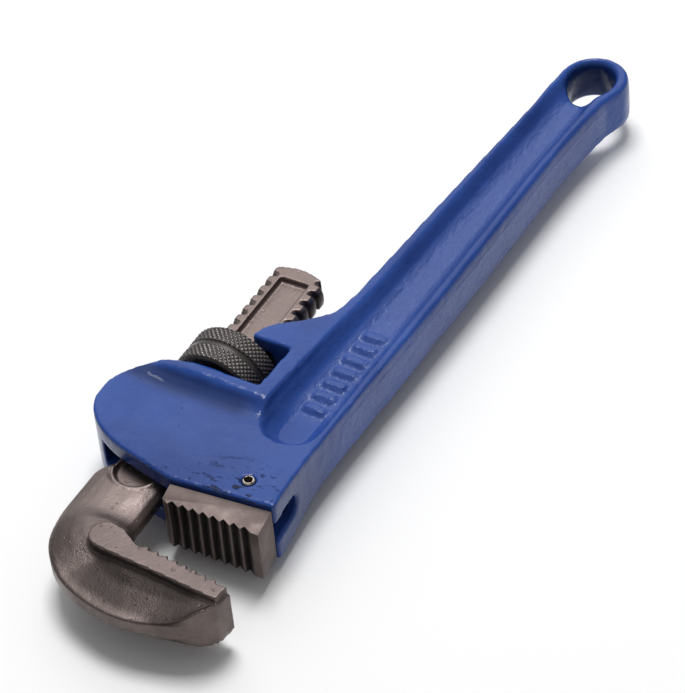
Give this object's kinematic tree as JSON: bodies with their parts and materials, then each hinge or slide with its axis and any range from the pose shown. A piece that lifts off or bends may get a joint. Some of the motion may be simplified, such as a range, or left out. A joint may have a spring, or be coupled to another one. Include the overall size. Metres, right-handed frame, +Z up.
{
  "type": "straight pipe wrench",
  "caption": "Heavy-duty straight pipe wrench: hook jaw on a threaded shank, knurled adjusting nut, fixed heel jaw and an I-section handle with a hanging eye.",
  "frame": {"origin": "middle of the footprint at floor level, the wrench lying flat on its side", "axes": "+X along the handle from the jaws to the hanging eye, +Y from the jaw opening to the adjusting nut, +Z up"},
  "size_m": [0.3154, 0.0906, 0.0334],
  "materials": {
    "blue_enamel": "glossy enamel on a rough casting",
    "forged_steel": "forged, machined on the rail and shank",
    "machined_steel": "machined",
    "blackened_steel": "blackened, knurled",
    "bright_steel": "bare, slightly rusty",
    "spring_steel": "spring steel"
  },
  "bodies": {
    "housing": {"handle_housing": "blue_enamel", "heel_jaw": "machined_steel", "heel_jaw_pin": "bright_steel", "coil_spring": "spring_steel"},
    "spring_leaf": {"flat_spring": "spring_steel", "spring_rivet": "bright_steel"},
    "hook_jaw": {"hook_jaw": "forged_steel"},
    "adjusting_nut": {"adjusting_nut": "blackened_steel"}
  },
  "joints": [
    {"name": "jaw_rock", "type": "hinge", "parent": "housing", "child": "spring_leaf", "pos_m": [-0.04398, 0.0163, 0.0167], "axis": [0, 0, 1], "range_deg": [0, 1.2], "stiffness_Nm_per_rad": 4, "springref_deg": -2.86, "deforming": ["coil_spring"]},
    {"name": "jaw_slide", "type": "slide", "parent": "spring_leaf", "child": "hook_jaw", "axis": [-1, 0, 0], "range_m": [-0.016, 0.033]},
    {"name": "nut_spin", "type": "hinge", "parent": "spring_leaf", "child": "adjusting_nut", "pos_m": [-0.04398, 0.0163, 0.0167], "axis": [1, 0, 0], "range_deg": [-1120, 2165]}
  ],
  "couplings": [
    {"joint": "nut_spin", "follows": "jaw_slide", "rad_per_m": 1142.4}
  ]
}
